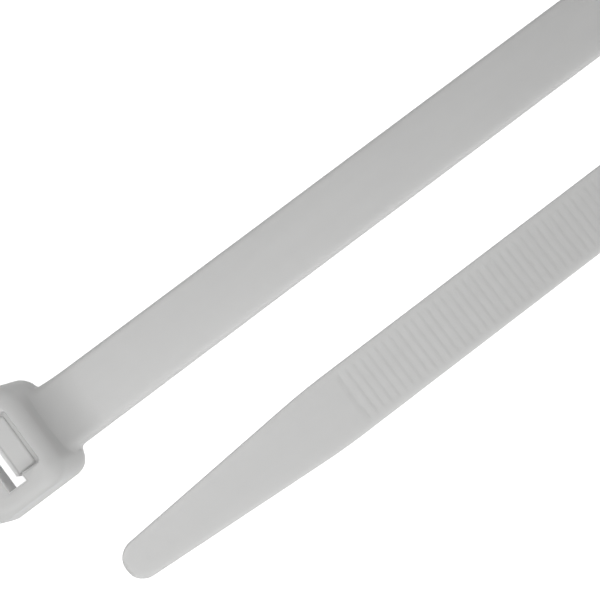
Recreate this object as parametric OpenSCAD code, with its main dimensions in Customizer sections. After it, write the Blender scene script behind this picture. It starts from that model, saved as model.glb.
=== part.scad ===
// Moulded nylon cable tie, doubled back so that head and tail lie side by side.
// X runs along the strap, away from the head. The origin is on the underside,
// where the strap leaves the head.

/* [Strap] */
// Width of the strap
strap_w = 7.7; // [7:0.1:9]
// Thickness of the strap over its side rails
strap_t = 1.6; // [1.4:0.05:2]
// Length of the strap from the head to the tip of the tail
strap_l = 291; // [275:1:320]
// Slope cut along both edges of the smooth side
smooth_edge = 0.5; // [0.2:0.05:0.6]
// Slope cut along both edges of the toothed side
toothed_edge = 0.2; // [0.1:0.05:0.3]

/* [Teeth] */
// Distance from one tooth to the next
tooth_pitch = 1; // [0.9:0.1:1.4]
// Height of a tooth from its root to its crest
tooth_depth = 0.4; // [0.2:0.05:0.5]
// Length over which the steep face of a tooth rises
tooth_rise = 0.15; // [0.1:0.05:0.3]
// Depth of the crests below the side rails
crest_drop = 0.1; // [0.05:0.05:0.25]
// Width of the plain rail on each side of the teeth
rail_w = 0.7; // [0.65:0.05:1.2]
// Plain length of strap between the head and the first tooth
plain_root = 22; // [10:1:40]
// Plain length of strap between the last tooth and the narrowing tail
plain_tail = 1.5; // [1.3:0.1:8]
// How far the two ends of the toothed band bow outwards
band_bow = 0.4; // [0.3:0.1:1.2]

/* [Tail] */
// Length over which the tail narrows in straight lines to its tip
tail_taper = 26.2; // [20:0.1:30]
// Radius of the tip
tip_r = 2.2; // [1.2:0.1:2.6]
// Radius of the soft bend where the tail starts to narrow
shoulder_r = 80; // [40:5:100]

/* [Head] */
// Length of the head along the strap
head_l = 11.3; // [11:0.1:13]
// Width of the head
head_w = 12.1; // [11.8:0.1:14]
// Height of the head
head_h = 8; // [7:0.1:9]
// How far the strap-side face leans back at the top
head_lean = 1.95; // [1:0.05:2.1]
// Radius of the upright corners on the strap side
near_corner_r = 2; // [1:0.1:2.2]
// Radius of the upright corners on the far side
far_corner_r = 2.2; // [1:0.1:2.4]
// Radius of the brow, where the leaning face rolls over into the top
brow_r = 2.5; // [1:0.1:3]
// Radius of the top edge at the far end
far_edge_r = 1.8; // [0.5:0.1:2.5]
// Radius of the top edges along the sides
side_edge_r = 1; // [0.3:0.1:1.5]
// Radius of the edges round the underside
base_edge_r = 0.3; // [0.2:0.05:0.5]
// Radius of the hollow that blends the head into the smooth side
root_fillet_r = 5.5; // [2:0.1:6]
// Radius of the small hollow beside the strap at the head
neck_fillet_r = 0.6; // [0.3:0.1:0.8]

/* [Channel and pawl] */
// Play of the strap in the channel, across its thickness
channel_play = 0.4; // [0.2:0.05:0.6]
// Play of the strap in the channel on each side
side_play = 0.1; // [0.05:0.05:0.3]
// Thickness of the wall at the far end of the head
far_wall = 3.8; // [3:0.1:4.2]
// How much wider the channel is at the underside, where the tail goes in
lead_in = 0.6; // [0.3:0.1:0.9]
// Width of the pawl
pawl_w = 6; // [5:0.1:6.4]
// Thickness of the pawl at its free end, over its teeth
pawl_t = 2.55; // [2.3:0.05:2.7]
// How far the pawl reaches into the channel
pawl_bite = 0.7; // [0.5:0.05:0.8]
// How far the free end of the pawl lies below the top of the head
pawl_drop = 0.7; // [0.4:0.1:1.2]
// Height of the pawl's hinge above the underside
hinge_h = 2; // [1.5:0.1:2.6]
// Thickness of the pawl's hinge
hinge_t = 0.75; // [0.5:0.05:0.9]
// Height of the bend in the back of the pawl, above which it is upright
heel_h = 4.4; // [3.5:0.1:5]
// Gap on each side of the pawl
pawl_gap = 0.15; // [0.1:0.05:0.3]
// Width of the slit behind the pawl at the top of the head
slit_w = 0.45; // [0.35:0.05:0.8]
// Width of the slit behind the pawl at its hinge
slit_root_w = 0.3; // [0.2:0.05:0.35]
// Radius of the upright corners of the pawl and of its pocket
pawl_corner_r = 0.35; // [0.2:0.05:0.5]
// Number of teeth on the pawl
pawl_teeth = 3; // [2:1:4]

/* [Lay] */
// Straight length of strap between the head and the loop
head_run = 102.5; // [90:0.5:110]
// Length of strap in the loop
loop_l = 112; // [100:1:125]
// Distance from the middle of one run to the middle of the other
run_spacing = 17.35; // [14:0.05:24]
// Share of the loop over which the strap turns up and back
turn_share = 0.8; // [0.75:0.01:0.85]
// Share of the loop at which the strap starts to level out again
level_share = 0.6; // [0.55:0.01:0.65]

/* [Hidden] */
$fn = 64;
nylon = [0.87, 0.87, 0.86];
sink = 0.5;      // how far joined shapes run into each other
beyond = 1;      // how far a cutting shape runs past the face it cuts
seat = 0.03;     // how far a fillet's arc dips under the faces it blends
pawl_land = 0.3; // plain length of the pawl between its last tooth and its free end
bow_n = 6;       // straight pieces in each half of the arc that ends the toothed band
shoulder_n = 5;  // straight pieces in the arc of each shoulder of the tail
tip_n = 14;      // straight pieces in the arc of the tip

crest_n = crest_drop;
root_n = crest_drop + tooth_depth;
band_w = strap_w - 2 * rail_w;

head_teeth = floor((head_run - plain_root) / tooth_pitch);
loop_teeth = round(loop_l / tooth_pitch);
loop_arc = loop_teeth * tooth_pitch;
tail_run = strap_l - head_run - loop_arc;

// The tail narrows at this angle on each side, along a line that touches the tip's arc
tip_x = tail_taper - tip_r;
taper_a = atan2(strap_w / 2, tip_x) - asin(tip_r / norm([tip_x, strap_w / 2]));
shoulder_l = shoulder_r * tan(taper_a / 2);
tail_l = tail_taper + shoulder_l;
tail_teeth = floor((tail_run - tail_l - plain_tail) / tooth_pitch);

channel_t = strap_t + channel_play;
channel_w = strap_w + 2 * side_play;
channel_far = far_wall - head_l;
channel_near = channel_far + channel_t;
pawl_front = channel_near - pawl_bite;
pawl_back = pawl_front + pawl_t;
pawl_top = head_h - pawl_drop;
pocket_w = pawl_w + 2 * pawl_gap;
slit_back = pawl_back + slit_w;
hinge_front = channel_near + pawl_gap;
hinge_back = hinge_front + hinge_t;
face_lean = atan2(head_lean, head_h - strap_t);

// Shape of the loop, seen from the side
// The heading is the angle that the strap has turned through at a share of its way
// round: it goes past half a turn, dips, and levels out on the surface it lies on.
function ease(x) = let (c = max(0, min(1, x))) c * c * (3 - 2 * c);
function heading(share, dip) = (180 + dip) * ease(share / turn_share)
    - dip * ease((share - level_share) / (1 - level_share));
function sway(share) = let (s = share * (1 - share)) 6 * s * run_spacing / loop_arc;
function step_l(share) = sqrt(1 - pow(sway(share), 2)) / loop_teeth;
function rise_of(dip) = let (shares = [for (i = [0.5:loop_teeth]) i / loop_teeth])
    [for (s = shares) step_l(s) * sin(heading(s, dip))] * [for (s = shares) 1];
function find_dip(low, high, tries) = let (mid = (low + high) / 2)
    tries == 0 ? mid : rise_of(mid) > 0 ? find_dip(mid, high, tries - 1) : find_dip(low, mid, tries - 1);
loop_dip = find_dip(0, 120, 26);

// The path of the middle of the strap, one point for each quarter of a tooth
steps = 4 * loop_teeth;
path_step = loop_arc / steps;
function leg(i) = let (s = (i + 0.5) / steps, h = heading(s, loop_dip))
    path_step * sqrt(1 - pow(sway(s), 2)) * [cos(h), sin(h)];
path = [for (i = 0, p = [head_run, strap_t / 2]; i <= steps; p = p + leg(i), i = i + 1) p];
path_x = [for (i = [0:steps]) [i * path_step, path[i][0]]];
path_z = [for (i = [0:steps]) [i * path_step, path[i][1]]];
landing_x = round(path[steps][0] * 100) / 100;

// Outline across the strap, from the toothed side at 0 to the smooth side at strap_t
function bar_outline() = let (h = strap_w / 2) [
    [-h, strap_t - smooth_edge],
    [-h + smooth_edge, strap_t],
    [h - smooth_edge, strap_t],
    [h, strap_t - smooth_edge],
    [h, toothed_edge],
    [h - toothed_edge, 0],
    [-h + toothed_edge, 0],
    [-h, toothed_edge]
];
// The same outline with the toothed band cut to a depth
function band_outline(depth) = let (o = bar_outline(), b = band_w / 2)
    concat([for (i = [0:5]) o[i]], [[b, 0], [b, depth], [-b, depth], [-b, 0]], [o[6], o[7]]);

// Tooth after tooth: the steep faces look back towards the head
function tooth_line(count) = [
    for (k = [0:count - 1])
        each [[k * tooth_pitch, root_n], [k * tooth_pitch + tooth_rise, crest_n]]
];

module bar(length) {
    rotate([90, 0, 90])
        linear_extrude(length)
            polygon(bar_outline());
}

// Seen from above, the toothed band has one open end and one that bows outwards
module band_plan(length, bow_side) {
    open_x = bow_side < 0 ? length + beyond : -beyond;
    bow_x = bow_side < 0 ? 0 : length;
    bow_r = (pow(band_w / 2, 2) + pow(band_bow, 2)) / (2 * band_bow);
    bow_a = asin(band_w / 2 / bow_r);
    bow = [
        for (i = [-bow_n:bow_n])
            let (a = bow_a * i / bow_n)
                [bow_x + bow_side * bow_r * (cos(a) - cos(bow_a)), bow_r * sin(a)]
    ];
    polygon(concat([[open_x, band_w / 2], [open_x, -band_w / 2]], bow));
}

module tooth_cut(count, bow_side) {
    length = count * tooth_pitch;
    reach = max(beyond, band_bow) + beyond;
    line = concat([[-reach, root_n]], tooth_line(count), [[length, root_n], [length + reach, root_n]]);
    intersection() {
        rotate([90, 0, 0])
            linear_extrude(strap_w, center = true)
                polygon(concat([[-reach, -beyond]], line, [[length + reach, -beyond]]));
        translate([0, 0, -2 * beyond])
            linear_extrude(2 * beyond + strap_t)
                band_plan(length, bow_side);
    }
}

module head_run_strap() {
    difference() {
        translate([-sink, 0, 0])
            bar(head_run + sink);
        translate([head_run - head_teeth * tooth_pitch, 0, 0])
            tooth_cut(head_teeth, -1);
    }
}

// Outline of the narrowing tail from the start of its shoulder, moved in by an inset
function arc_points(centre, r, from, to, count) =
    [for (i = [0:count]) let (a = from + (to - from) * i / count) centre + r * [sin(a), cos(a)]];
function tail_outline(inset) = let (
    shoulder = arc_points([0, strap_w / 2 - shoulder_r], shoulder_r - inset, 0, taper_a, shoulder_n),
    tip = arc_points([shoulder_l + tip_x, 0], tip_r - inset, taper_a, 180 - taper_a, tip_n)
) concat(shoulder, tip, [for (i = [shoulder_n:-1:0]) [shoulder[i][0], -shoulder[i][1]]]);

module tail_end() {
    hull() {
        linear_extrude(toothed_edge)
            polygon(tail_outline(toothed_edge));
        translate([0, 0, toothed_edge])
            linear_extrude(strap_t - smooth_edge - toothed_edge)
                polygon(tail_outline(0));
        linear_extrude(strap_t)
            polygon(tail_outline(smooth_edge));
    }
}

// The last run lies smooth side down, so its teeth look up
module tail_run_strap() {
    plain_l = tail_run - tail_l;
    translate([landing_x, -run_spacing, strap_t])
        rotate([0, 180, 0]) {
            difference() {
                bar(plain_l);
                tooth_cut(tail_teeth, 1);
            }
            translate([plain_l, 0, 0])
                tail_end();
        }
}

// One ring of points across the strap at a distance round the loop
function ring(arc, depth) = let (
    share = arc / loop_arc,
    last = arc >= loop_arc,
    h = last ? 180 : heading(share, loop_dip),
    lean = last || share == 0 ? 0 : asin(sway(share)),
    middle = [
        last ? landing_x : lookup(arc, path_x),
        -run_spacing * ease(share),
        last ? strap_t / 2 : lookup(arc, path_z)
    ],
    across = [sin(lean) * cos(h), cos(lean), sin(lean) * sin(h)],
    up = [-sin(h), 0, cos(h)]
) [for (p = band_outline(depth)) middle + p[0] * across + (p[1] - strap_t / 2) * up];

module loop_strap() {
    rings = concat(
        [for (p = tooth_line(loop_teeth)) ring(p[0], p[1])],
        [ring(loop_arc, root_n)]
    );
    sides = len(rings[0]);
    last = (len(rings) - 1) * sides;
    walls = [
        for (i = [0:len(rings) - 2], j = [0:sides - 1])
            let (a = i * sides + j, b = i * sides + (j + 1) % sides)
                each [[a, b, b + sides], [a, b + sides, a + sides]]
    ];
    // each end is three outward-bulging outlines, so that none folds in at the band
    cap = [[0, 1, 8, 9, 10, 11], [1, 2, 7, 8], [2, 3, 4, 5, 6, 7]];
    first_end = [for (c = cap) [for (k = [len(c) - 1:-1:0]) c[k]]];
    last_end = [for (c = cap) [for (k = c) last + k]];
    polyhedron([for (r = rings) each r], concat(walls, first_end, last_end));
}

// What an arc leaves off a square corner that looks along +X and +Y before its turn
module corner_offcut(x, y, r, turn) {
    translate([x, y])
        rotate(turn)
            difference() {
                translate([-r, -r])
                    square(r + beyond);
                translate([-r, -r])
                    circle(r);
            }
}

module head_plan() {
    difference() {
        translate([-head_l, -head_w / 2])
            square([head_l, head_w]);
        corner_offcut(0, head_w / 2, near_corner_r, 0);
        corner_offcut(-head_l, head_w / 2, far_corner_r, 90);
        corner_offcut(-head_l, -head_w / 2, far_corner_r, 180);
        corner_offcut(0, -head_w / 2, near_corner_r, 270);
    }
}

// Seen from the side: what is cut off the block to lean its face back above the strap
// and to round its edges across the strap
module side_offcuts() {
    above = head_h + beyond;
    lean_x = head_lean * (above - strap_t) / (head_h - strap_t);
    polygon([[0, strap_t], [-lean_x, above], [beyond, above], [beyond, strap_t]]);
    brow_offcut();
    corner_offcut(-head_l, head_h, far_edge_r, 90);
    corner_offcut(-head_l, 0, base_edge_r, 180);
}

// What the brow's arc leaves off the corner between the leaning face and the top
module brow_offcut() {
    centre = [-head_lean - brow_r * tan(45 - face_lean / 2), head_h - brow_r];
    outward = [cos(face_lean), sin(face_lean)];
    touch = centre + brow_r * outward;
    difference() {
        polygon([
            centre,
            [centre[0], head_h + beyond],
            [beyond, head_h + beyond],
            touch + beyond * outward,
            touch
        ]);
        translate(centre)
            circle(brow_r);
    }
}

// Seen from the front: what is cut off to round the edges along the strap
module front_offcuts() {
    corner_offcut(head_w / 2, head_h, side_edge_r, 0);
    corner_offcut(-head_w / 2, head_h, side_edge_r, 90);
    corner_offcut(-head_w / 2, 0, base_edge_r, 180);
    corner_offcut(head_w / 2, 0, base_edge_r, 270);
}

module head_block() {
    difference() {
        linear_extrude(head_h)
            head_plan();
        rotate([90, 0, 0])
            linear_extrude(head_w + 2 * beyond, center = true)
                side_offcuts();
        translate([-head_l - beyond, 0, 0])
            rotate([90, 0, 90])
                linear_extrude(head_l + 2 * beyond)
                    front_offcuts();
    }
}

// The tail passes up through the channel, whose far wall slopes to widen the way in
module channel_cut() {
    slope = lead_in / head_h;
    rotate([90, 0, 0])
        linear_extrude(channel_w, center = true)
            polygon([
                [channel_far - lead_in - slope * beyond, -beyond],
                [channel_near, -beyond],
                [channel_near, head_h + beyond],
                [channel_far + slope * beyond, head_h + beyond]
            ]);
}

// Seen from above, a block with two rounded corners on its +X side, or with all four
module rounded_plan(start, end, width, corners) {
    difference() {
        translate([start, -width / 2])
            square([end - start, width]);
        corner_offcut(end, width / 2, pawl_corner_r, 0);
        corner_offcut(end, -width / 2, pawl_corner_r, 270);
        if (corners == 4) {
            corner_offcut(start, width / 2, pawl_corner_r, 90);
            corner_offcut(start, -width / 2, pawl_corner_r, 180);
        }
    }
}

// The pocket behind the channel leaves the pawl free on every side but its hinge
module pawl_pocket() {
    intersection() {
        rotate([90, 0, 0])
            linear_extrude(pocket_w, center = true)
                polygon([
                    [channel_near - sink, hinge_h],
                    [hinge_back + slit_root_w, hinge_h],
                    [pawl_back + slit_root_w, heel_h],
                    [slit_back, head_h],
                    [slit_back, head_h + beyond],
                    [channel_near - sink, head_h + beyond]
                ]);
        linear_extrude(head_h + beyond)
            rounded_plan(channel_near - sink, slit_back, pocket_w, 2);
    }
}

module pawl() {
    root_x = pawl_front + tooth_depth;
    last_z = pawl_top - pawl_land;
    first_z = last_z - pawl_teeth * tooth_pitch;
    teeth = [
        for (k = [0:pawl_teeth - 1])
            let (z = first_z + k * tooth_pitch)
                each [[root_x, z], [pawl_front, z + tooth_pitch - tooth_rise]]
    ];
    intersection() {
        rotate([90, 0, 0])
            linear_extrude(pawl_w, center = true)
                polygon(concat(
                    [[hinge_back, hinge_h - sink], [hinge_front, hinge_h - sink], [hinge_front, hinge_h + hinge_t]],
                    teeth,
                    [[root_x, last_z], [root_x, pawl_top], [pawl_back, pawl_top]],
                    [[pawl_back, heel_h], [hinge_back, hinge_h]]
                ));
        linear_extrude(head_h)
            rounded_plan(pawl_front, pawl_back, pawl_w, 4);
    }
}

// The hollow between the leaning face and the smooth side of the strap
module root_fillet() {
    centre_x = root_fillet_r * (1 - sin(face_lean)) / cos(face_lean);
    centre_z = strap_t + root_fillet_r;
    touch = [centre_x - root_fillet_r * cos(face_lean), centre_z - root_fillet_r * sin(face_lean)];
    rotate([90, 0, 0])
        linear_extrude(strap_w - 2 * smooth_edge - 2 * seat, center = true)
            difference() {
                polygon([
                    [touch[0] - sink, strap_t - sink],
                    [centre_x, strap_t - sink],
                    [centre_x, centre_z],
                    [touch[0], touch[1]],
                    [touch[0] - sink, touch[1]]
                ]);
                translate([centre_x - seat, centre_z - seat])
                    circle(root_fillet_r);
            }
}

// The hollow beside the strap, seen from above
module neck_fillet(side) {
    corner_y = side * strap_w / 2;
    translate([0, 0, toothed_edge])
        linear_extrude(strap_t - smooth_edge - toothed_edge)
            difference() {
                translate([-sink, side > 0 ? corner_y - sink : corner_y - neck_fillet_r])
                    square([sink + neck_fillet_r, sink + neck_fillet_r]);
                translate([neck_fillet_r - seat, corner_y + side * (neck_fillet_r - seat)])
                    circle(neck_fillet_r);
            }
}

module head() {
    difference() {
        head_block();
        channel_cut();
        pawl_pocket();
    }
    pawl();
    root_fillet();
    for (side = [-1, 1])
        neck_fillet(side);
}

module cable_tie() {
    color(nylon) {
        head();
        head_run_strap();
        loop_strap();
        tail_run_strap();
    }
}

cable_tie();
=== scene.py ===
# A moulded nylon cable tie, doubled back so that head and tail lie side by side.
# It is modelled straight, in millimetres, as it leaves the mould, and then laid
# along its path and brought to metres.
import math
import random

import bmesh
import bpy
from mathutils import Matrix, Vector


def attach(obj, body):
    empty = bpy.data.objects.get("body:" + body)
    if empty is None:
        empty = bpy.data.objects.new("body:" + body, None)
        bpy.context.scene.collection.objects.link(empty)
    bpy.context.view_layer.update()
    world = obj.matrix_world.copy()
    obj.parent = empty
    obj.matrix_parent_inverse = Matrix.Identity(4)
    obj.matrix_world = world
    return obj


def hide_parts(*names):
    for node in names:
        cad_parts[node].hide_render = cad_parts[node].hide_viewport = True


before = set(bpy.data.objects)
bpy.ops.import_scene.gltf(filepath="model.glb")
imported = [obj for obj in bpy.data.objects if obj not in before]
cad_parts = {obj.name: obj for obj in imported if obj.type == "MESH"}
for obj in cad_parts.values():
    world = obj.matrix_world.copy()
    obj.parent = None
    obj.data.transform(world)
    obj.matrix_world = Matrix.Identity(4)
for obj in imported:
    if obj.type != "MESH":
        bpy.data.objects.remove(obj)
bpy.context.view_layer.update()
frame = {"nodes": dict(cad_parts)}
mm = 0.001
hair = 0.01    # closer than this counts as touching, in millimetres
print("frame loaded:", ", ".join(frame["nodes"]))


# How the tie lies: straight from the head, up and back through a loop, then
# straight to the tip with its teeth up.
lay = {
    "headRun": 102.5,
    "loop": 112.0,
    "spacing": 17.35,
    "turnShare": 0.8,     # the strap turns up and back over this share of the loop
    "levelShare": 0.6,    # and starts to level out again here
    "steps": 896,
}


def ease(x):
    x = min(max(x, 0.0), 1.0)
    return x * x * (3 - 2 * x)


def heading(share, dip):
    turned = (180 + dip) * ease(share / lay["turnShare"])
    dipped = dip * ease((share - lay["levelShare"]) / (1 - lay["levelShare"]))
    return math.radians(turned - dipped)


# How steeply the strap moves sideways at a share of the loop
def sway(share):
    return 6 * share * (1 - share) * lay["spacing"] / lay["loop"]


def loopPath(dip, startHeight):
    step = lay["loop"] / lay["steps"]
    point = Vector((lay["headRun"], startHeight))
    points = [point.copy()]
    for i in range(lay["steps"]):
        share = (i + 0.5) / lay["steps"]
        angle = heading(share, dip)
        point = point + Vector((math.cos(angle), math.sin(angle))) * step * math.sqrt(1 - sway(share) ** 2)
        points.append(point)
    return points


def findDip(startHeight):
    low, high = 0.0, 120.0
    for i in range(30):    # the right dip brings the strap back down to the table
        middle = (low + high) / 2
        if loopPath(middle, startHeight)[-1].y > startHeight:
            low = middle
        else:
            high = middle
    return (low + high) / 2


strap = {
    "width": 7.7,
    "thickness": 1.6,
    "length": 291.0,
    "smoothRound": 0.5,    # radius of the edges of the smooth side
    "toothedRound": 0.2,
    "crown": 0.11,         # how much higher the smooth side is along its middle
    "skin": 0.01,          # kept inside the outer size all round
    "pitch": 1.0,
    "toothDepth": 0.4,
    "crestDrop": 0.03,
    "relief": 0.13,        # share of the teeth's depth that is still seen in the soft nylon
    "steepFoot": 0.08,     # along each tooth: its steep face, its crest and its ramp
    "steepTop": 0.3,
    "crestEnd": 0.4,
    "rampMiddle": 0.7,
    "valleyWear": 0.005,
    "crestWear": 0.01,
    "unevenness": 0.01,
    "rail": 0.7,
    "railSlope": 0.25,
    "endSlope": 0.3,
    "endPlain": 0.5,       # kept plain beyond each end of the toothed band
    "plainRoot": 22.0,
    "plainTail": 1.5,      # from the last tooth to the narrowing tail
    "bow": 0.4,            # the ends of the toothed band bow outwards
    "taper": 26.2,
    "tipRadius": 2.2,
    "tipThinning": 0.5,    # the tip thins to its edge over this length
    "tipEdge": 0.08,       # and keeps at least this share of its thickness
    "shoulderRadius": 80.0,
    "rootFillet": 5.5,
    "hollowRound": 0.25,   # how much rounder the hollow's edges get as it climbs
    "seat": 0.05,          # how far the fillet's arc dips into the leaning face
    "neckFillet": 0.6,
    "sunk": 1.8,           # how far the strap starts inside the head
}
headShape = {
    "length": 11.3,
    "width": 12.1,
    "height": 8.0,
    "lean": 1.95,
    "nearCorner": 2.0,
    "farCorner": 1.8,
    "browRound": 2.5,      # from the leaning face over into the top
    "farRound": 1.8,
    "sideRound": 1.0,
    "baseRound": 0.3,
    "grid": 0.5,           # spacing of the rings up the straight walls
    "wallSteps": (12, 12, 12, 14),    # points along the left, far, right and near walls
    "leastCorner": 0.3,
    "topInsets": (0.15, 0.35),
    "channelPlay": 0.4,
    "sidePlay": 0.1,
    "farWall": 3.8,
    "leadIn": 0.6,         # how much wider the channel is at the underside
    "leadStart": 0.2,
    "mouthRound": 0.3,
    "beyond": 1,           # how far the cutters reach past the head
}
pawlShape = {
    "width": 6.0,
    "thickness": 2.55,
    "bite": 0.7,
    "drop": 0.7,
    "land": 0.3,           # from its last tooth to its free end
    "hingeHeight": 2.0,
    "hinge": 0.75,
    "heel": 4.4,           # the back of the pawl is upright above this height
    "gap": 0.15,
    "slit": 0.45,
    "slitRoot": 0.3,
    "slitFloor": 7.0,      # the slit is cut only as deep as it shows
    "corner": 0.35,        # upright corners of the pawl and its pocket
    "teeth": 3,
    "toothRise": 0.15,
    "sunk": 0.5,           # how far pawl and pocket reach into what they join
    "round": 0.3,
}


# Stations along the strap: where it is, how deep its band is cut, and how much
# of the end bow it takes.
def stations():
    crest = strap["crestDrop"]
    root = crest + strap["toothDepth"] * strap["relief"]
    pitch = strap["pitch"]
    headTeeth = math.floor((lay["headRun"] - strap["plainRoot"]) / pitch)
    bandStart = lay["headRun"] - headTeeth * pitch
    tailRun = strap["length"] - lay["headRun"] - lay["loop"]
    taperStart = strap["length"] - tailLength()
    tailTeeth = math.floor((tailRun - tailLength() - strap["plainTail"]) / pitch)
    teeth = headTeeth + round(lay["loop"] / pitch) + tailTeeth
    bandEnd = bandStart + teeth * pitch
    centre, inside = rootArc()
    # every two degrees of the hollow's arc, and closer where the sides swing out
    along = [centre - strap["rootFillet"] * math.cos(math.radians(a)) for a in range(18, 91, 2)]
    along = sorted(along + [strap["neckFillet"] * (0.01 + 0.14 * i) for i in range(8)])
    found = [(-strap["sunk"], 0, 0), (inside - 0.2, 0, 0), (inside, 0, 0)]
    found += [(s, 0, 0) for s, before in zip(along, [inside] + along) if s - before > hair]
    plain = bandStart - strap["bow"] - strap["endPlain"] - centre
    found += [(centre + i * plain / 12, 0, 0) for i in range(1, 13)]
    found += [(bandStart - strap["endSlope"], 0, -1), (bandStart, root, -1)]
    wobble = random.Random(5)
    for k in range(teeth):
        at = bandStart + k * pitch
        worn = wobble.uniform(-strap["unevenness"], strap["unevenness"])
        found += [
            (at, root, 0),
            (at + strap["steepFoot"], root - strap["valleyWear"], 0),
            (at + strap["steepTop"], crest + strap["crestWear"] + worn, 0),
            (at + strap["crestEnd"], crest + worn, 0),
            (at + strap["rampMiddle"], (crest + worn) * 0.5 + root * 0.5, 0),
        ]
    found += [(bandEnd, root, 0), (bandEnd, root, 1), (bandEnd + strap["endSlope"], 0, 1)]
    plain = bandEnd + strap["bow"] + strap["endPlain"]
    found += [(plain + i * (taperStart - plain) / 3, 0, 0) for i in range(3)]
    tipStart = strap["length"] - strap["tipRadius"]
    found += [(taperStart + i * (tipStart - taperStart) / 26, 0, 0) for i in range(26)]
    tip = strap["tipRadius"] - strap["skin"]
    found += [(tipStart + tip * math.sin(math.radians(a)), 0, 0) for a in range(0, 85, 4)]
    return found


def leanAngle():
    return math.atan2(headShape["lean"], headShape["height"] - strap["thickness"])


# The angle at which each side of the tail narrows, and how long its shoulder is
def taperAngle():
    half = strap["width"] / 2
    run = strap["taper"] - strap["tipRadius"]
    return math.atan2(half, run) - math.asin(strap["tipRadius"] / math.hypot(run, half))


def tailLength():
    return strap["taper"] + strap["shoulderRadius"] * math.tan(taperAngle() / 2)


def halfWidth(s):
    half = strap["width"] / 2 - strap["skin"]
    tip, turn, bend = strap["tipRadius"], taperAngle(), strap["shoulderRadius"]
    x = s - (strap["length"] - tailLength())
    if x <= 0:
        return half
    if x < bend * math.sin(turn):
        return half - bend + math.sqrt(bend * bend - x * x)
    toTip = x - (tailLength() - tip)
    if toTip < tip * math.sin(turn):
        return tip / math.cos(turn) - toTip * math.tan(turn) - strap["skin"]
    return math.sqrt(max((tip - strap["skin"]) ** 2 - toTip ** 2, 0.0001))


# How far the strap's side swings out to meet the leaning face at its own height
def neckFlare(s, z):
    r = strap["neckFillet"]
    face = -max(z - strap["thickness"], 0) * math.tan(leanAngle())
    ahead = min(max(r - s + face, 0), r)
    return r - math.sqrt(r * r - ahead * ahead)


# The hollow that blends the strap's smooth side into the leaning face of the head:
# where its arc is centred along the strap, and where it ends inside the face
def rootArc():
    r, lean = strap["rootFillet"], leanAngle()
    centre = r * (1 - math.sin(lean)) / math.cos(lean) - strap["seat"] * math.cos(lean)
    return centre, centre - r * math.cos(lean)


def rootRise(s):
    r = strap["rootFillet"]
    centre, inside = rootArc()
    if s >= centre:
        return 0
    return r - math.sqrt(r * r - (centre - max(s, inside)) ** 2)


def arcPoints(y, n, r, start, stop, count):
    angles = [math.radians(start + (stop - start) * i / (count - 1)) for i in range(count)]
    return [(y + r * math.cos(a), n + r * math.sin(a)) for a in angles]


# One half of the section across the strap, from the middle of the smooth side
# round to the middle of the toothed side. The last six points make the toothed band.
def halfSection(s, depth):
    half = halfWidth(s)
    thick = strap["thickness"] - strap["skin"]
    foot = strap["skin"]
    rise = rootRise(s)
    upper = min(strap["smoothRound"] + strap["hollowRound"] * rise, half * 0.55)
    lower = min(strap["toothedRound"], half * 0.3)
    band = min(strap["width"] / 2 - strap["rail"], max(half - lower, 0.02) * 0.86)
    crown = strap["crown"] * half / strap["width"] * 2
    flat = half - upper
    points = [(flat * k, thick - crown * k * k) for k in (0, 0.35, 0.65, 0.9)]
    points += arcPoints(half - upper, thick - crown - upper, upper, 86, 0, 6)
    points += arcPoints(half - lower, foot + lower, lower, 0, -90, 4)
    wall = max(depth, foot)
    edge = min(strap["railSlope"], band * 0.3)
    points += [
        (band + edge * 0.4, foot),
        (band - edge * 0.4, foot + (wall - foot) * 0.2),
        (band - edge * 1.6, foot + (wall - foot) * 0.8),
        (band - edge * 2.4, wall),
        (band * 0.25, wall),
        (0, wall),
    ]
    end = strap["length"] - s
    thinning = strap["tipThinning"]
    squeeze = math.sqrt(1 - (1 - end / thinning) ** 2) if end < thinning else 1
    middle = strap["thickness"] / 2
    shaped = []
    for i, (y, n) in enumerate(points):
        if i < 10:    # only the smooth side climbs the head
            n = n + rise
        if 4 <= i < 13:
            y = y + neckFlare(s, n)
        shaped.append((y, middle + (n - middle) * max(squeeze, strap["tipEdge"])))
    return shaped


def sectionAt(s, depth, bow):
    half = halfSection(s, depth)
    inBand = len(half) - 6
    band = strap["width"] / 2 - strap["rail"]
    ring = []
    for i, (y, n) in enumerate(half):
        push = bow * strap["bow"] * (1 - min(abs(y) / band, 1) ** 2) if i > inBand else 0
        ring.append(Vector((s + push, y, n)))
    mirrored = [Vector((p.x, -p.y, p.z)) for p in ring[-2:0:-1]]
    return ring + mirrored


# A closed ring of vertices extruded from ring to ring, and shut at both ends
def sweepRings(rings):
    bm = bmesh.new()
    place = bm.verts.layers.int.new("place")
    first = [bm.verts.new(co) for co in rings[0]]
    for i, v in enumerate(first):
        v[place] = i
    edges = [bm.edges.new((first[i], first[(i + 1) % len(first)])) for i in range(len(first))]
    bmesh.ops.holes_fill(bm, edges=edges, sides=0)
    bm.faces.ensure_lookup_table()
    for ring in rings[1:]:
        moved = bmesh.ops.extrude_edge_only(bm, edges=edges)["geom"]
        edges = [g for g in moved if isinstance(g, bmesh.types.BMEdge)]
        for v in [g for g in moved if isinstance(g, bmesh.types.BMVert)]:
            v.co = ring[v[place]]
    bmesh.ops.holes_fill(bm, edges=edges, sides=0)
    bmesh.ops.recalc_face_normals(bm, faces=bm.faces)
    return bm


def makeObject(bm, name):
    mesh = bpy.data.meshes.new(name)
    bm.to_mesh(mesh)
    bm.free()
    made = bpy.data.objects.new(name, mesh)
    bpy.context.scene.collection.objects.link(made)
    return made


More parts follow.
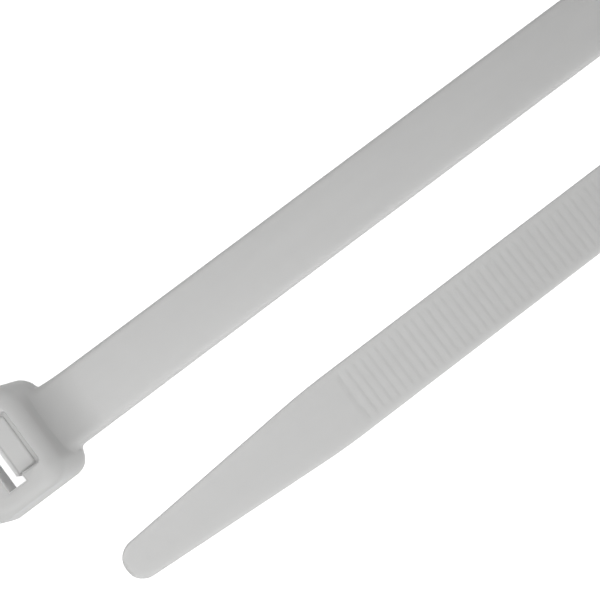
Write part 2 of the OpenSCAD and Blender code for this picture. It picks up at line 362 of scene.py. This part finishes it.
# A flat outline in the side view, given a width across the strap
def prism(outline, width):
    bm = bmesh.new()
    face = bm.faces.new([bm.verts.new((x, -width / 2, z)) for x, z in outline])
    side = bmesh.ops.extrude_face_region(bm, geom=[face])["geom"]
    bmesh.ops.translate(bm, vec=(0, width, 0), verts=[g for g in side if isinstance(g, bmesh.types.BMVert)])
    bmesh.ops.recalc_face_normals(bm, faces=bm.faces)
    return bm


def roundEdges(bm, chosen, radius, segments):
    edges = [e for e in bm.edges if chosen(e.verts[0].co, e.verts[1].co)]
    bmesh.ops.bevel(
        bm, geom=edges, offset=radius, offset_type="OFFSET", affect="EDGES",
        segments=segments, profile=0.5, material=-1, clamp_overlap=True,
    )


def combine(target, others, operation):
    for other in others:
        step = target.modifiers.new(operation, "BOOLEAN")
        step.operation = operation
        step.solver = "EXACT"
        step.object = other
        bpy.context.view_layer.update()
        depsgraph = bpy.context.evaluated_depsgraph_get()
        result = bpy.data.meshes.new_from_object(target.evaluated_get(depsgraph))
        target.modifiers.clear()
        target.data = result
        bpy.data.objects.remove(other)


# How far a rounded edge draws a wall in, a given way below or above that edge
def drawnIn(depth, radius):
    depth = min(max(radius - depth, 0), radius)
    return radius - math.sqrt(radius * radius - depth * depth)


def browAt(z):
    h = headShape
    lean = leanAngle()
    r = h["browRound"]
    centre = -h["lean"] - r * math.tan(math.pi / 4 - lean / 2)
    if z > h["height"] - r + r * math.sin(lean):
        return centre + math.sqrt(max(r * r - (z - h["height"] + r) ** 2, 0))
    return -h["lean"] * max(z - strap["thickness"], 0) / (h["height"] - strap["thickness"])


def cornerPoints(x, y, rx, ry, turn):
    angles = [math.radians(turn + 90 * i / 8) for i in range(9)]
    return [Vector((x + rx * math.cos(a), y + ry * math.sin(a))) for a in angles]


# The head seen from above at a height, always with the same number of points, so
# that ring follows ring
def headRing(z, shrink=0):
    h = headShape
    base = drawnIn(z, h["baseRound"])
    side = h["width"] / 2 - drawnIn(h["height"] - z, h["sideRound"]) - base - shrink
    near = browAt(z) - base - shrink
    far = -h["length"] + drawnIn(h["height"] - z, h["farRound"]) + base + shrink
    drawn = h["width"] / 2 - side
    corners = []
    for k in range(4):
        atNear = k in (0, 3)
        rx = h["nearCorner" if atNear else "farCorner"]
        ry = max(rx - drawn, h["leastCorner"])
        cx = near - rx if atNear else far + rx
        cy = (side - ry) * (1 if k < 2 else -1)
        corners.append(cornerPoints(cx, cy, rx, ry, 90 * k))
    ring = []
    for k, (corner, steps) in enumerate(zip(corners, h["wallSteps"])):
        following = corners[(k + 1) % 4][0]
        ring += corner + [corner[-1].lerp(following, i / steps) for i in range(1, steps)]
    return [Vector((p.x, p.y, z)) for p in ring]


def headBlock():
    h = headShape
    heights = [h["baseRound"] * (1 - math.cos(math.radians(a))) for a in (0, 30, 60, 90)]
    brow = h["height"] - h["browRound"] * (1 - math.sin(leanAngle()))
    count = round((brow - h["baseRound"]) / h["grid"])
    heights += [h["baseRound"] + (brow - h["baseRound"]) * i / count for i in range(1, count)]
    turns = [leanAngle() + (math.pi / 2 - leanAngle()) * i / 14 for i in range(15)]
    heights += [h["height"] - h["browRound"] * (1 - math.sin(a)) for a in turns]
    rings = [headRing(z) for z in heights]
    rings += [headRing(h["height"], inset) for inset in h["topInsets"]]
    return makeObject(sweepRings(rings), "headBlock")


def channelEnds():
    far = headShape["farWall"] - headShape["length"]
    return far, far + strap["thickness"] + headShape["channelPlay"]


# How far a cutter flares out at a height, to round the edge of the mouth it cuts
def flareAt(z):
    return drawnIn(headShape["height"] - z, headShape["mouthRound"])


def mouthHeights():
    top, r = headShape["height"], headShape["mouthRound"]
    return [top - r * math.cos(math.radians(15 * i)) for i in range(7)] + [top + headShape["beyond"]]


# Wider at the underside, where the tail goes in
def channelCutter():
    far, near = channelEnds()
    half = strap["width"] / 2 + headShape["sidePlay"]
    height = headShape["height"]
    rings = []
    for z in [-headShape["beyond"], headShape["leadStart"], height / 2] + mouthHeights():
        flare = flareAt(z)
        start = far - headShape["leadIn"] * (1 - min(max(z, 0) / height, 1)) - flare
        end, wide = near + flare, half + flare
        rings.append([Vector(c + (z,)) for c in ((start, -wide), (end, -wide), (end, wide), (start, wide))])
    return makeObject(sweepRings(rings), "channel")


# The pocket shows as a groove round the pawl, from the channel to behind it
def pocketCutter():
    near = channelEnds()[1]
    p = pawlShape
    back = near - p["bite"] + p["thickness"]
    top, floor, heel = headShape["height"], p["slitFloor"], p["heel"]
    rings = []
    for z in [floor, (floor + top) / 2] + mouthHeights():
        share = min((z - heel) / (top - heel), 1)
        end = back + p["slitRoot"] + (p["slit"] - p["slitRoot"]) * share
        end, wide = end + flareAt(z), p["width"] / 2 + p["gap"] + flareAt(z)
        r = p["corner"] + flareAt(z)
        ring = cornerPoints(end - r, wide - r, r, r, 0)
        ring += [Vector((near - p["sunk"], wide)), Vector((near - p["sunk"], -wide))]
        ring += cornerPoints(end - r, r - wide, r, r, 270)
        rings.append([Vector((c.x, c.y, z)) for c in ring])
    return makeObject(sweepRings(rings), "pocket")


def pawlPiece():
    near = channelEnds()[1]
    p = pawlShape
    front, back = near - p["bite"], near - p["bite"] + p["thickness"]
    root = front + strap["toothDepth"]
    top = headShape["height"] - p["drop"]
    hingeFront = near + p["gap"]
    hingeBack = hingeFront + p["hinge"]
    first = top - p["land"] - p["teeth"] * strap["pitch"]
    outline = [
        (hingeBack, p["hingeHeight"]),
        (hingeBack, p["hingeHeight"] - p["sunk"]),
        (hingeFront, p["hingeHeight"] - p["sunk"]),
        (hingeFront, p["hingeHeight"] + p["hinge"]),
    ]
    for k in range(p["teeth"]):
        low = first + k * strap["pitch"]
        outline += [(root, low), (front, low + strap["pitch"] - p["toothRise"])]
    outline += [(root, top - p["land"]), (root, top), (back, top), (back, p["heel"])]
    bm = prism(outline, p["width"])

    def upright(a, b):
        return abs(a.y - b.y) < hair and max(a.z, b.z) > top - hair and abs(a.z - b.z) > 10 * hair

    def atTop(a, b):
        return min(a.z, b.z) > top - hair

    roundEdges(bm, upright, p["corner"], 4)
    roundEdges(bm, atTop, p["round"], 4)
    return makeObject(bm, "pawl")


def layAlong(point, path, dip):
    s, y, n = point
    loop = lay["loop"]
    along = s - lay["headRun"]
    if along <= 0:
        return point
    middle = strap["thickness"] / 2
    if along >= loop:
        return Vector((path[-1].x - (along - loop), y - lay["spacing"], 2 * middle - n))
    share = along / loop
    i = min(int(share * lay["steps"]), lay["steps"] - 1)
    centre = path[i].lerp(path[i + 1], share * lay["steps"] - i)
    h = heading(share, dip)
    lean = math.asin(sway(share))
    across = Vector((math.sin(lean) * math.cos(h), math.cos(lean), math.sin(lean) * math.sin(h)))
    up = Vector((-math.sin(h), 0, math.cos(h)))
    start = Vector((centre.x, -lay["spacing"] * ease(share), centre.y))
    return start + across * y + up * (n - middle)


# How much painted light a point gets, a paler colour standing in for light that would come through the
# nylon:
# none outside the head and on top of the pawl, a little in the slit, most in the channel
def paintedLightShare(p):
    far, near = channelEnds()
    top, slack = headShape["height"], nylon["slack"]
    front = near - pawlShape["bite"]
    back = front + pawlShape["thickness"]
    if not far - headShape["leadIn"] - 2 * slack < p.x < back + pawlShape["slit"] + slack:
        return 0.0
    if abs(p.y) > strap["width"] / 2 + 4 * slack or not 2 * slack < p.z < top - 2 * slack:
        return 0.0
    alongPawl = front - 2 * slack < p.x < back + slack
    acrossPawl = abs(p.y) < pawlShape["width"] / 2 + slack
    if alongPawl and acrossPawl and p.z > top - pawlShape["drop"] - pawlShape["round"] - slack:
        return 0.0
    return nylon["slitPaintedLight"] if p.x > near + slack else 1.0


def cableTie():
    bm = sweepRings([sectionAt(*station) for station in stations()])
    strapPiece = makeObject(bm, "cableTie")
    print("strap:", len(strapPiece.data.polygons), "faces")
    tie = headBlock()
    combine(tie, [channelCutter(), pocketCutter()], "DIFFERENCE")
    combine(tie, [pawlPiece(), strapPiece], "UNION")
    tie.name = "cableTie"
    print("head, pawl and strap joined:", len(tie.data.polygons), "faces")

    mesh = tie.data
    dip = findDip(strap["thickness"] / 2)
    path = loopPath(dip, strap["thickness"] / 2)
    straight = [v.co.copy() for v in mesh.vertices]
    for v, place in zip(mesh.vertices, straight):
        v.co = layAlong(place, path, dip) * mm
    moulded = mesh.attributes.new("moulded", "FLOAT_VECTOR", "POINT")
    moulded.data.foreach_set("vector", [c * mm for place in straight for c in place])
    # painted light: how much of the paler colour each point gets, in the channel and the slit
    paintedLight = mesh.attributes.new("paintedLight", "FLOAT", "POINT")
    paintedLight.data.foreach_set("value", [paintedLightShare(place) for place in straight])
    mesh.shade_smooth()
    mesh.set_sharp_from_angle(angle=math.radians(32))
    print("tie laid along its path, loop", round(max(p.y for p in path), 1), "mm high")
    return tie


# Shader maths: a socket that can be used in Python expressions
class Wire:
    def __init__(self, finish, socket):
        self.finish = finish
        self.socket = socket

    def maths(self, operation, first, second):
        return self.finish.node("ShaderNodeMath", {"operation": operation}, {0: first, 1: second})

    def __add__(self, other):
        return self.maths("ADD", self, other)

    def __radd__(self, other):
        return self.maths("ADD", other, self)

    def __sub__(self, other):
        return self.maths("SUBTRACT", self, other)

    def __mul__(self, other):
        return self.maths("MULTIPLY", self, other)


class Finish:
    def __init__(self, name):
        self.material = bpy.data.materials.new(name)
        self.material.use_nodes = True
        self.tree = self.material.node_tree
        self.tree.nodes.clear()

    def node(self, kind, settings=None, inputs=None, output=0):
        made = self.tree.nodes.new(kind)
        for key, value in (settings or {}).items():
            setattr(made, key, value)
        for key, value in (inputs or {}).items():
            if isinstance(value, Wire):
                self.tree.links.new(value.socket, made.inputs[key])
            else:
                made.inputs[key].default_value = value
        return Wire(self, made.outputs[output] if made.outputs else None)


nylon = {
    "paler": (0.615, 0.615, 0.61, 1),
    "deeper": (0.575, 0.575, 0.57, 1),
    "paintedLight": (0.97, 0.97, 0.965, 1),       # painted light: paler where light would come through the nylon
    "slitPaintedLight": 0.05,
    "slack": 0.05,         # millimetres either way when a point is told in or out
    "paintedNeckShade": (0.545, 0.545, 0.54, 1),      # painted shade: darker over the head and on the strap next to it
    "paintedNeckShadeFrom": 0.0065,   # along the strap, in metres
    "paintedNeckShadeTo": -0.001,
    "flow": (60, 420, 420),                # the cloud is drawn out along the strap
    "grainScale": 5200.0,
    "roughness": 0.5,
    "cloudRoughness": 0.12,
    "grainRoughness": 0.08,
    "glow": 0.5,           # share of light that spreads below the surface
    "spread": 0.0025,      # how far it spreads, in metres
    "grain": 0.05,
    "grainHeight": 0.0001,
    "index": 1.53,
}


def nylonFinish():
    f = Finish("naturalNylon")
    place = f.node("ShaderNodeAttribute", {"attribute_name": "moulded"}, output="Vector")
    flow = f.node("ShaderNodeMapping", {}, {"Vector": place, "Scale": nylon["flow"]})
    cloud = f.node("ShaderNodeTexNoise", {}, {"Vector": flow, "Scale": 1.0, "Detail": 3.0}, output="Fac")
    grain = f.node(
        "ShaderNodeTexNoise", {},
        {"Vector": place, "Scale": nylon["grainScale"], "Detail": 2.0}, output="Fac",
    )
    tint = f.node(
        "ShaderNodeMix", {"data_type": "RGBA"},
        {0: cloud, 6: nylon["deeper"], 7: nylon["paler"]}, output=2,
    )
    # painted shade: darker over the head and along the strap within a few millimetres of it
    along = f.node("ShaderNodeSeparateXYZ", {}, {0: place}, output="X")
    paintedNeckShade = f.node(
        "ShaderNodeMapRange", {"interpolation_type": "SMOOTHSTEP"},
        {"Value": along, "From Min": nylon["paintedNeckShadeFrom"], "From Max": nylon["paintedNeckShadeTo"]},
    )
    tint = f.node("ShaderNodeMix", {"data_type": "RGBA"}, {0: paintedNeckShade, 6: tint, 7: nylon["paintedNeckShade"]}, output=2)
    # painted light: paler in the channel and a little in the slit, standing in for light through the nylon
    paintedLightMask = f.node("ShaderNodeAttribute", {"attribute_name": "paintedLight"}, output="Fac")
    colour = f.node(
        "ShaderNodeMix", {"data_type": "RGBA"},
        {0: paintedLightMask, 6: tint, 7: nylon["paintedLight"]}, output=2,
    )
    uneven = (cloud - 0.5) * nylon["cloudRoughness"]
    rough = nylon["roughness"] + uneven + (grain - 0.5) * nylon["grainRoughness"]
    bump = f.node(
        "ShaderNodeBump", {},
        {"Strength": nylon["grain"], "Distance": nylon["grainHeight"], "Height": grain + cloud * 2},
    )
    skin = f.node(
        "ShaderNodeBsdfPrincipled", {},
        {
            "Base Color": colour, "Roughness": rough, "Normal": bump, "IOR": nylon["index"],
            "Subsurface Weight": nylon["glow"], "Subsurface Radius": (1, 1, 1),
            "Subsurface Scale": nylon["spread"],
        },
    )
    f.node("ShaderNodeOutputMaterial", {}, {"Surface": skin})
    return f.material


table = {"size": 3.0, "colour": (0.66, 0.66, 0.66, 1), "lift": 0.9}


def tableTop():
    bm = bmesh.new()
    bmesh.ops.create_grid(bm, x_segments=1, y_segments=1, size=table["size"] / 2)
    top = makeObject(bm, "tableTop")
    f = Finish("paleTable")
    seen = f.node("ShaderNodeLightPath", output="Is Camera Ray")
    mirrored = f.node("ShaderNodeLightPath", output="Is Glossy Ray")
    cloth = f.node("ShaderNodeBsdfDiffuse", {}, {"Color": table["colour"]})
    glow = f.node(
        "ShaderNodeEmission", {},
        {"Color": (1, 1, 1, 1), "Strength": (seen + mirrored) * table["lift"]},
    )
    both = f.node("ShaderNodeAddShader", {}, {0: cloth, 1: glow})
    f.node("ShaderNodeOutputMaterial", {}, {"Surface": both})
    top.data.materials.append(f.material)


light = {
    "world": 0.35,
    "aim": (0.01, -0.008, 0.0),
    "overhead": ((-0.014, -0.012, 0.14), 0.12, 0.10),    # place, size and power
    "side": ((0.05, -0.42, 0.26), 0.3, 0.75),
}


def areaLamp(name, place, size, power, aim):
    lamp = bpy.data.lights.new(name, "AREA")
    lamp.shape = "DISK"
    lamp.size = size
    lamp.energy = power
    made = bpy.data.objects.new(name, lamp)
    made.location = place
    made.rotation_euler = (Vector(aim) - Vector(place)).to_track_quat("-Z", "Y").to_euler()
    bpy.context.scene.collection.objects.link(made)


def studioLight():
    for name in ("overhead", "side"):
        areaLamp(name, *light[name], light["aim"])
    world = bpy.data.worlds.new("studio")
    world.use_nodes = True
    background = world.node_tree.nodes["Background"]
    background.inputs["Color"].default_value = (1, 1, 1, 1)
    background.inputs["Strength"].default_value = light["world"]
    bpy.context.scene.world = world


view = {
    "place": (17.5, -17.11, 140.5),
    "aim": (28.4, -5.41, 0.0),
    "roll": 37.2,          # degrees from the strap to the picture's level line
    "lens": 77.6,
    "nearest": 0.005,      # metres
}


def camera():
    made = bpy.data.objects.new("camera", bpy.data.cameras.new("camera"))
    made.data.lens = view["lens"]
    made.data.clip_start = view["nearest"]
    place, aim = Vector(view["place"]) * mm, Vector(view["aim"]) * mm
    look = (aim - place).normalized()
    roll = math.radians(view["roll"])
    right = look.cross(Vector((math.sin(roll), math.cos(roll), 0))).normalized()
    up = right.cross(look)
    turn = Matrix((right, up, -look)).transposed().to_4x4()
    made.matrix_world = Matrix.Translation(place) @ turn
    bpy.context.scene.collection.objects.link(made)
    bpy.context.scene.camera = made


tie = cableTie()
tie.data.materials.append(nylonFinish())
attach(tie, "root")
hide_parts("cable_tie")
print("nylon applied")

tableTop()
studioLight()
camera()
bpy.context.scene.view_settings.view_transform = "Standard"
print("table, lamps and camera set")
